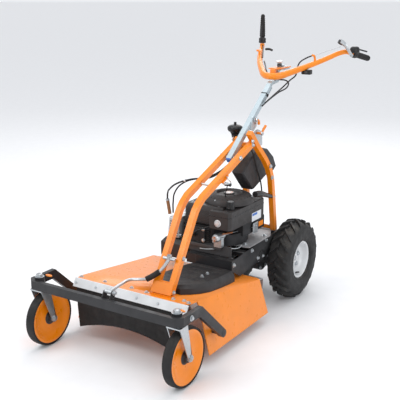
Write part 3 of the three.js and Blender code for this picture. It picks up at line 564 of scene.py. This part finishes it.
# carburettor side: oil filler, governor linkage, float bowl and breather elbow
lathe("oil_filler", [(0, 556), (14, 556), (16, 553), (16, 532), (19, 528), (19, 519.6), (0, 519.6)], "z",
      (172, -404, 0), SMOOTH, "machine", 32)
curve("governor_rod", [(150, -452, 404), (152, -420, 400), (170, -330, 398), (210, -250, 402),
                       (213, -242, 398), (213, -240, 386)], 1.5, ZINC, "machine")
coil("governor_spring", (156, -446, 412), (178, -392, 410), 3.2, 14, 0.7, COPPER, "machine")
lathe("carburettor_bowl", [(0, -486), (12, -486), (17, -480), (19, -474), (19, -462), (17, -458),
                           (0, -458)], "y", (139, 0, 398), ZINC, "machine", 48)
for i, dz in enumerate((-13, 13)):
    bolt(f"carburettor_screw_{i + 1}", (139, -486, 398 + dz * 0.6), (0, -1, 0), 7, COPPER, "machine",
         washer=False)
loft("governor_plate", brick(212, 215, -268, -222, 374, 424), ZINC, "machine", bevel=1)
bolt("governor_pivot", (215, -244, 410), (1, 0, 0), 10, STEEL, "machine")
curve("breather_elbow", [(205, -239, 556), (206, -190, 548), (205, -130, 528), (205, -67, 506)], 13, SMOOTH,
      "machine", radii=[1.1, 1.15, 0.9, 0.7])
lathe("breather_elbow_end", [(0, -70), (9, -70), (10, -66), (10, -48), (8, -46), (0, -46)], "y",
      (205, 0, 504), STEEL, "machine", 32)

# ---------------------------------------------------------------- fuel tank
for i in range(5):
    f = i / 4
    lathe(f"neck_rib_{i + 1}", [(18.5, -1.8), (20.4, -0.8), (20.4, 0.8), (18.5, 1.8)], "z",
          (22 + 1.2 * f, -107 + 6 * f, 799 - 16 * f), PLASTIC, "machine", 48, closed=True)
CAP = (22, -109, 0)
cap = [(0, 806.2), (21, 806.2), (30, 811), (36, 820), (36.4, 829), (33, 835), (27, 839), (12, 843),
       (6.4, 845), (6.2, 854), (5, 855.6), (0, 855.9)]
lathe("cap_shell", cap, "z", CAP, SMOOTH, "tank_cap", 72, stands_for=("tank_cap",))
for i in range(36):
    a = 2 * math.pi * i / 36
    u = Vector((math.cos(a), math.sin(a), 0))
    rings = []
    for z, r in ((812, 31.6), (820, 36), (829, 36.5), (834, 33.6)):
        c = Vector((*CAP[:2], z)) + (r - 0.6) * u
        v = Vector((-math.sin(a), math.cos(a), 0))
        rings.append([tuple(c + v * 1.2 - u), tuple(c + v * 0.9 + u * 0.9), tuple(c - v * 0.9 + u * 0.9),
                      tuple(c - v * 1.2 - u)])
    loft(f"cap_knurl_{i + 1}", rings, SMOOTH, "tank_cap")
lathe("cap_gasket", [(20, 803), (22.5, 803), (22.5, 806), (20, 806)], "z", CAP, RUBBER,
      "machine", 48, closed=True)

# ---------------------------------------------------------------- frame, column and latches
for i, (y, z) in enumerate(((-797, 408), (-871, 285), (-229, 800), (-224, 781))):
    for face, x in ((1, CENTRE_X + 49.8), (-1, CENTRE_X - 49.8)):
        bolt(f"tube_bolt_{i + 1}_{'left' if face > 0 else 'right'}", (x, y, z), (face, 0, 0), 13, ZINC,
             "machine")
for i, (y, z) in enumerate(((-104, 662), (-84, 604))):
    for face, x in ((1, CENTRE_X + 80), (-1, CENTRE_X - 80)):
        bolt(f"rear_tube_bolt_{i + 1}_{'left' if face > 0 else 'right'}", (x, y, z), (face, 0, 0), 13,
             ZINC, "machine")
for i, x in enumerate((CENTRE_X - 58, CENTRE_X + 58)):
    bolt(f"foot_bolt_{i + 1}", (x, -46, 356), (0, 0, 1), 13, ZINC, "machine")
COLUMN_SLOPE = math.radians(37.8)
UY, UZ = math.cos(COLUMN_SLOPE), math.sin(COLUMN_SLOPE)


def along_column(d, lift, x):
    """A layout point d up the column from its tilt pivot, and lift above its middle line."""
    return (x, -338 + d * UY - lift * UZ, 741 + d * UZ + lift * UY)


plug = [along_column(-24, v, CENTRE_X + u) for u, v in ((-11, -11), (11, -11), (11, 11), (-11, 11))]
plug2 = [along_column(-16.6, v, CENTRE_X + u) for u, v in ((-12, -12), (12, -12), (12, 12), (-12, 12))]
loft("column_end_plug", [plug, plug2], BLUE, "column", bevel=1.5)
tie = ((-14.2, -14.2), (14.2, -14.2), (14.2, 14.2), (-14.2, 14.2))
rings = [[along_column(d, v, CENTRE_X + u) for u, v in tie] for d in (392, 397)]
loft("cable_tie", rings, SMOOTH, "column", bevel=1)
loft("cable_tie_head", [[along_column(d, v, CENTRE_X + u) for u, v in ((14, -4), (20, -4), (20, 4), (14, 4))]
                        for d in (390, 399)], SMOOTH, "column", bevel=1)
teeth = []
for i in range(21):
    a = math.radians(100 - 6.5 * i)
    r = 26 if i % 2 else 31
    teeth.append((-158 + r * math.cos(a) * 0.95, 868 + r * math.sin(a)))
teeth += [(-158, 840), (-178, 862)]
prism("serrated_clamp_plate", teeth, "x", CENTRE_X + 13, CENTRE_X + 17.2, ZINC, "column", bevel=0.5)
lathe("clamp_lever_collar", [(6, 0), (11, 0), (12, 1.5), (12, 6), (6, 6)], "x", (CENTRE_X + 17.6, -150, 884),
      ZINC, "tilt_clamp_lever", 36, closed=True)
for key, y0, z0, y1, z1, y2, z2, body in (("tilt", -150, 884, -135, 878, -130, 860, "tilt_clamp_lever"),
                                          ("lock", -136, 820, -121, 838, -101, 851, "lock_lever")):
    x = CENTRE_X + (28 if key == "tilt" else 48)
    curve(f"{key}_lever_tip", [(x, y1, z1), (x, (y1 + y2) / 2 + 1, (z1 + z2) / 2), (x, y2, z2)], 6.2,
          ORANGE, body)
    lathe(f"{key}_lever_nut", [(0, -3), (9, -3), (10, -2), (10, 3), (0, 3)], "x",
          (x + (2 if key == "lock" else 1), y0, z0), ZINC, body, 6)
serration = []
for i in range(24):
    t = i / 23
    y = -200 + 105 * t
    z = 800 + 34 * math.sin(math.pi * min(1, t * 1.05) * 0.78)
    serration.append((y, z + (2.6 if i % 2 else -1.2)))
serration += [(-90, 770), (-112, 758), (-160, 772)]
prism("serrated_lock_plate", serration, "x", CENTRE_X + 19.4, CENTRE_X + 24.2, ZINC, "machine", bevel=0.5)
bolt("tilt_pivot_bolt_left", (CENTRE_X + 49.6, -338, 741), (1, 0, 0), 15, ZINC, "machine")
bolt("tilt_pivot_bolt_right", (CENTRE_X - 49.6, -338, 741), (-1, 0, 0), 15, ZINC, "machine")

# ---------------------------------------------------------------- handlebar
def point_on(start, heading, d, lift=(0, 0, 0)):
    return tuple(s + d * h + k for s, h, k in zip(start, heading, lift))


LEFT = ((377, 404, 1158), (0.27, 0.93, -0.24))
RIGHT = ((-114, 404, 1168), (-0.05, 0.10, 0.99))
bar = [point_on(*RIGHT, 14), (-113, 402, 1169), (-108, 390, 1162), (-85, 340, 1154), (-52, 265, 1137),
       (-21, 205, 1118), (11, 152, 1100), (48, 102, 1081), (80, 62, 1067), (105, 44, 1063),
       (132, 40, 1063), (161, 56, 1064), (194, 108, 1077), (222, 159, 1091), (251, 210, 1106),
       (280, 260, 1122), (310, 310, 1140), (340, 360, 1158), (362, 388, 1163), (378, 408, 1157),
       point_on(*LEFT, 16)]
thick = [12, 12, 12, 12, 12.3, 13, 14, 15.3, 16.2, 16.5, 16.5, 16.4, 15.6, 14.4, 13.4, 12.6, 12.2, 12, 12,
         12, 12]
curve("handlebar_tube", bar, 1.0, ORANGE, "handlebar", stands_for=("handlebar",), radii=thick)
loft("bar_plate_front", brick(CENTRE_X - 28, CENTRE_X + 28, 60, 110, 1094, 1099), ORANGE, "handlebar",
     bevel=1.2)
loft("bar_plate_ear_left", [[(CENTRE_X + 10, 108, z), (CENTRE_X + 28, 108, z), (CENTRE_X + 28, 190, z),
                             (CENTRE_X + 14, 192, z), (CENTRE_X + 10, 170, z)] for z in (1094, 1099)],
     ORANGE, "handlebar", bevel=1.2)
loft("bar_plate_ear_right", [[(CENTRE_X - 28, 108, z), (CENTRE_X - 10, 108, z), (CENTRE_X - 10, 170, z),
                              (CENTRE_X - 14, 192, z), (CENTRE_X - 28, 190, z)] for z in (1094, 1099)],
     ORANGE, "handlebar", bevel=1.2)
loft("bar_riser", brick(CENTRE_X - 12, CENTRE_X + 12, 46, 64, 1060, 1095), ORANGE, "handlebar", bevel=1.5)
loft("swing_cover_plate", brick(CENTRE_X - 22, CENTRE_X + 22, 138, 172, 1099, 1101.5), ZINC, "handlebar",
     bevel=0.6)
KNOB_Y = 120
knob = [(0, 1099.4), (8.6, 1099.4), (9, 1101), (9, 1115), (6.4, 1118), (10, 1120.6), (16.4, 1122.4),
        (17.9, 1125.4), (16.6, 1128.4), (11, 1130.3), (0, 1130.9)]
lathe("clamp_knob", knob, "z", (CENTRE_X, KNOB_Y, 0), SILVER, "swing_knob", 64, stands_for=("swing_knob",))
# A black coil round the knob's stem, under the knob's head.
coil("clamp_knob_dark_coil", (CENTRE_X, KNOB_Y, 1101), (CENTRE_X, KNOB_Y, 1117), 10.6, 5, 1.3, BLACK_PAINT,
     "swing_knob")
lathe("clamp_stud", [(0, 1079), (4.7, 1079), (4.7, 1099.4), (0, 1099.4)], "z", (CENTRE_X, KNOB_Y, 0), STEEL,
      "swing_knob", 24)

for side, (start, heading), inner, length, body in (("left", LEFT, 15, 140, "handlebar"),
                                                    ("right", RIGHT, 11, 150, "handlebar")):
    heading_v = Vector(heading).normalized()
    u = heading_v.orthogonal().normalized()
    v = heading_v.cross(u)
    base = Vector(start)

    def ring(d, r, n=40):
        out = []
        for i in range(n):
            a = 2 * math.pi * i / n
            out.append(tuple(base + heading_v * d + r * (math.cos(a) * u + math.sin(a) * v)))
        return out

    rows = []
    reach = length + 15
    for k in range(49):
        f = k / 48
        taper = 0 if side == "left" else 4.5 * (1 - f)
        waist = 0.9 * (1 - math.sin(math.pi * f)) * 0.6
        r = inner - 0.6 + taper + 0.7 * math.cos(f * 2 * math.pi * 11) - waist
        if f < 0.05:
            r = inner + 1.6
        if f > 0.96:
            r = inner + 0.6 - 60 * (f - 0.96) * 3
        rows.append(ring(46.4 + (reach - 46.4) * f, max(3, r)))
    loft(f"grip_sleeve_{side}", rows, RUBBER, body, stands_for=(f"grip_{side}",))
    big = 20 if side == "left" else 18.5
    housing = [(17, big - 5), (18.5, big - 1.2), (21, big - 0.2), (29, big), (30, big - 1.4),
               (31.5, big - 1.4), (32.5, big), (41, big - 0.3), (44, big - 2), (45.6, big - 6)]
    loft(f"clamp_housing_{side}", [ring(d, r, 48) for d, r in housing], PLASTIC, body,
         stands_for=(f"control_{side}",))
    loft(f"silver_collar_{side}", [ring(d, r, 40) for d, r in ((46, inner - 2), (46.4, inner + 1.2),
                                                              (49.5, inner + 1.2), (50, inner - 2))],
         ZINC, body)

heading = Vector((-0.42, -0.36, 0.83))
across = Vector((0.74, -0.67, 0.09))
rings = []
for d, w, t in ((-12, 9, 2.6), (-8, 14, 3.2), (10, 16, 3.2), (34, 19, 3.2), (52, 20, 3.2), (62, 16, 3.2),
                (66, 9, 2.6)):
    c = Vector((391, 379, 1152)) + heading * d
    n = heading.cross(across)
    rings.append([tuple(c + across * (sx * w * 0.62) + n * (sy * t))
                  for sx, sy in ((-1, -1), (1, -1), (1, 1), (-1, 1))])
loft("hand_lever_blade", rings, ZINC, "hand_lever", bevel=0.8)
lathe("control_cap", [(0, 20), (14, 20), (20, 16), (24, 8), (24, -8), (20, -12), (0, -12)], "z",
      (394, 418, 1168), SMOOTH, "handlebar", 48)
curve("hand_lever_knob", [(362, 354, 1202), (352, 344, 1210), (342, 335, 1216)], 12.5, SMOOTH,
      "hand_lever", radii=[0.75, 1.0, 0.82])
bolt("hand_lever_pivot", (394, 379, 1148), (0.96, -0.28, 0), 12, ZINC, "handlebar")
for i, (x, y, z) in enumerate(((264, 236, 1120), (-40, 238, 1130))):
    curve(f"cable_hook_{i + 1}", [(x, y, z), (x - 1, y + 1, z + 20), (x - 4, y - 2, z + 30),
                                  (x - 12, y - 10, z + 33)], 5.2, ORANGE, "handlebar")
curve("clutch_inner_wire", [(256, 232, 1150), (300, 284, 1169), (352, 338, 1190)], 1.1,
      STEEL, "handlebar")
curve("clutch_cable_far", [(-10, 214, 1131), (-34, 262, 1148), (-62, 318, 1163), (-90, 368, 1171),
                           (-108, 396, 1176)], 3.2, SMOOTH, "handlebar")
curve("throttle_cable", [(-4, 198, 1101), (-30, 246, 1119), (-62, 312, 1135), (-84, 356, 1146)], 2.6, SMOOTH,
      "handlebar")
loft("switch_case", brick(221, 269, 176, 204, 1064, 1087), SMOOTH, "handlebar", bevel=4,
     stands_for=("switch_box",))
loft("switch_rocker", brick(238, 254, 175, 178, 1070, 1081), BLACK_PAINT, "handlebar", bevel=1)

# ---------------------------------------------------------------- deck and front frame
def roof_z(y):
    """Height of the deck's roof, which slopes down to the back."""
    return 278 - 0.13 * (y + 936)


for i, (x, y) in enumerate(((-268, -912), (-148, -902), (-12, -896), (70, -904), (202, -904), (248, -894),
                            (276, -905))):
    bolt(f"roof_bolt_{i + 1}", (x, y, roof_z(y)), (0, 0.13, 1), 13, ZINC, "machine", height=5)
for i in range(6):
    x = -262 + 106 * i
    bolt(f"strip_bolt_{i + 1}", (x, -952, 263), (0, -0.87, 0.49), 11, ZINC, "machine", height=4)
for side, s in (("left", 1), ("right", -1)):
    lathe(f"arm_pivot_cap_{side}", [(0, s * 385), (9, s * 385), (12, s * 383.6), (13, s * 381), (0, s * 381)],
          "x", (0, -806, 132), BLACK_PAINT, "front_frame", 40)
for i, x in enumerate((CENTRE_X - 36, CENTRE_X + 36)):
    bolt(f"foot_rear_bolt_{i + 1}", (x, -858, 274.5), (0, 0.13, 1), 13, ZINC, "machine")
for i, (x, y) in enumerate(((60, -770), (204, -770), (20, -690), (244, -690), (20, -560), (244, -560))):
    bolt(f"belt_cover_screw_{i + 1}", (x, y, roof_z(y)), (0, 0.13, 1), 10, ZINC, "machine")
prism("foot_face_plate", [(-891, 277), (-894.4, 279), (-872, 321.6), (-868.6, 319.8)], "x", CENTRE_X - 49.4,
      CENTRE_X + 49.4, ORANGE, "machine", bevel=1)
for i, (x, y, z) in enumerate(((176, -604, 279), (184, -660, 286))):
    bolt(f"cover_stud_{i + 1}", (x, y, z), (0, 0.1, 1), 12, ZINC, "machine", height=7)
for i in range(5):
    y = -720 + 50 * i
    top = roof_z(y) + 39 * (1 + 0.0007 * (y + 835))
    loft(f"belt_cover_rib_{i + 1}", [[(CENTRE_X - 84, y, top - 3), (CENTRE_X + 84, y, top - 3),
                                      (CENTRE_X + 84, y + 5, top - 3), (CENTRE_X - 84, y + 5, top - 3)],
                                     [(CENTRE_X - 82, y + 1, top + 1), (CENTRE_X + 82, y + 1, top + 1),
                                      (CENTRE_X + 82, y + 4, top + 1), (CENTRE_X - 82, y + 4, top + 1)]],
         PLASTIC, "machine", bevel=0.6)
for side, s in (("left", 1), ("right", -1)):
    for i, (y, z) in enumerate(((-466, 286), (-300, 306), (-160, 318), (-60, 318), (-60, 262), (-240, 252))):
        bolt(f"chassis_bolt_{side}_{i + 1}", (CENTRE_X + s * 96, y, z), (s, 0, 0), 13, ZINC, "machine")
    for i in range(6):
        a = 2 * math.pi * i / 6
        bolt(f"gearbox_bolt_{side}_{i + 1}", (CENTRE_X + s * 62, -125 + 50 * math.cos(a),
                                              212 + 50 * math.sin(a)), (s, 0, 0), 11, ZINC, "machine")
for i, (x, y) in enumerate(((-70, -320), (70, -320), (-86, -160), (86, -160), (0, -90))):
    bolt(f"top_plate_bolt_{i + 1}", (CENTRE_X + x, y, 337), (0, 0, 1), 14, ZINC, "machine")
lathe("drive_cover_disc", [(0, 236), (12, 236), (16, 234), (26, 233), (28, 231), (28, 228.2),
                           (0, 228.2)], "x", (0, -205, 254), CAST, "machine", 64)
bolt("drive_cover_screw", (236, -205, 254), (1, 0, 0), 11, ZINC, "machine")
coil("latch_spring", (132, -826, 424), (132, -826, 408), 9, 6, 1.3, ZINC, "height_lever")
bolt("height_lever_nut", (48, -1085, 330), (1, 0, 0), 14, ZINC, "front_frame")

# ---------------------------------------------------------------- starter handle and rope
rows = []
for k in range(17):
    f = k / 16
    r = 8.9 - 2.2 * math.sin(math.pi * f) + (0 if 0 < k < 16 else -1.5)
    rows.append([(166.3 + 29.4 * f, -444 + r * math.cos(a), 644 + r * math.sin(a))
                 for a in (2 * math.pi * i / 36 for i in range(36))])
loft("starter_grip", rows, SMOOTH, "starter_handle", stands_for=("starter_handle",))
prism("rope_bracket", [(-452, 690), (-470, 676), (-500, 664), (-496, 660), (-466, 670), (-448, 684)], "x",
      170, 188, ORANGE, "machine", bevel=1)
curve("starter_rope", [(181, -444, 652), (176, -440, 640), (160, -420, 612), (138, -392, 584),
                       (126, -370, 562)], 2.2, SMOOTH, "machine")

# ---------------------------------------------------------------- stage, light and camera
def bent_cable(name, points, radius, node):
    """A cable mesh, baked once along a fixed path, between the column and the swinging handlebar."""
    draft = curve(name + "_path", points, radius, SMOOTH, "column")
    mesh = bpy.data.meshes.new_from_object(draft.evaluated_get(bpy.context.evaluated_depsgraph_get()))
    bpy.data.objects.remove(draft)
    mesh.shade_smooth()
    o = bpy.data.objects.new(name, mesh)
    bpy.context.scene.collection.objects.link(o)
    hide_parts(node)
    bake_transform(o)


bent_cable("clutch_cable_near", [(253, 232, 1151), (232, 214, 1141), (208, 186, 1119), (201, 172, 1090),
                                 (206, 150, 1062), (192, 118, 1040), (172, 84, 1010), (160, 14, 979),
                                 (151, -58, 949)], 3.4, "cable_left")
bent_cable("throttle_cable_lower", [(0, 214, 1112), (34, 164, 1094), (66, 114, 1077), (96, 86, 1056),
                                    (140, 78, 1046), (196, 84, 1037), (206, 66, 1018), (180, 14, 990),
                                    (158, -50, 956), (150, -84, 938)], 3.4, "cable_right")


def studio():
    bm = bmesh.new()
    reach = 60
    corners = [bm.verts.new((x * reach, y * reach, 0)) for x, y in ((-1, -1), (1, -1), (1, 1), (-1, 1))]
    bm.faces.new(corners)
    mesh = bpy.data.meshes.new("studio_floor")
    bm.to_mesh(mesh)
    bm.free()
    mesh.shade_smooth()
    floor = bpy.data.objects.new("studio_floor", mesh)
    bpy.context.scene.collection.objects.link(floor)
    floor.data.materials.append(surface("studio_paper", (0.86, 0.86, 0.87), 0.85, fine=60, grain=0.02,
                                        vary=0.01))
    turned = math.radians(32.395)
    floor.matrix_world = Matrix.Rotation(turned, 4, "Z")
    floor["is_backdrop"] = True

    world = bpy.data.worlds.new("studio")
    world.use_nodes = True
    world.node_tree.nodes["Background"].inputs["Color"].default_value = (0.95, 0.97, 1.0, 1)
    world.node_tree.nodes["Background"].inputs["Strength"].default_value = 0.92
    bpy.context.scene.world = world
    for name, where, size, power in (("key", (-1.8, -3.2, 4.0), 2.4, 62), ("fill", (3.6, -1.6, 2.6), 2.4, 30),
                                     ("top", (0.0, 0.4, 4.2), 3.0, 34), ("rim", (-1.5, 3.4, 3.0), 2.2, 34)):
        lamp = bpy.data.lights.new(name, "AREA")
        lamp.size = size
        lamp.energy = power
        o = bpy.data.objects.new(name, lamp)
        bpy.context.scene.collection.objects.link(o)
        aim = Vector((0, 0, 0.5)) - Vector(where)
        o.matrix_world = Matrix.Translation(where) @ aim.to_track_quat("-Z", "Y").to_matrix().to_4x4()

    lens = bpy.data.cameras.new("camera")
    lens.lens = 70.4
    lens.sensor_width = 36
    eye = bpy.data.objects.new("camera", lens)
    bpy.context.scene.collection.objects.link(eye)
    eye.location = (1.821, -2.992, 1.4944)
    eye.rotation_euler = (math.radians(90 - 15.578), 0, turned)
    bpy.context.scene.camera = eye


bpy.context.scene.view_settings.view_transform = "Standard"
studio()
low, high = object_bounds()
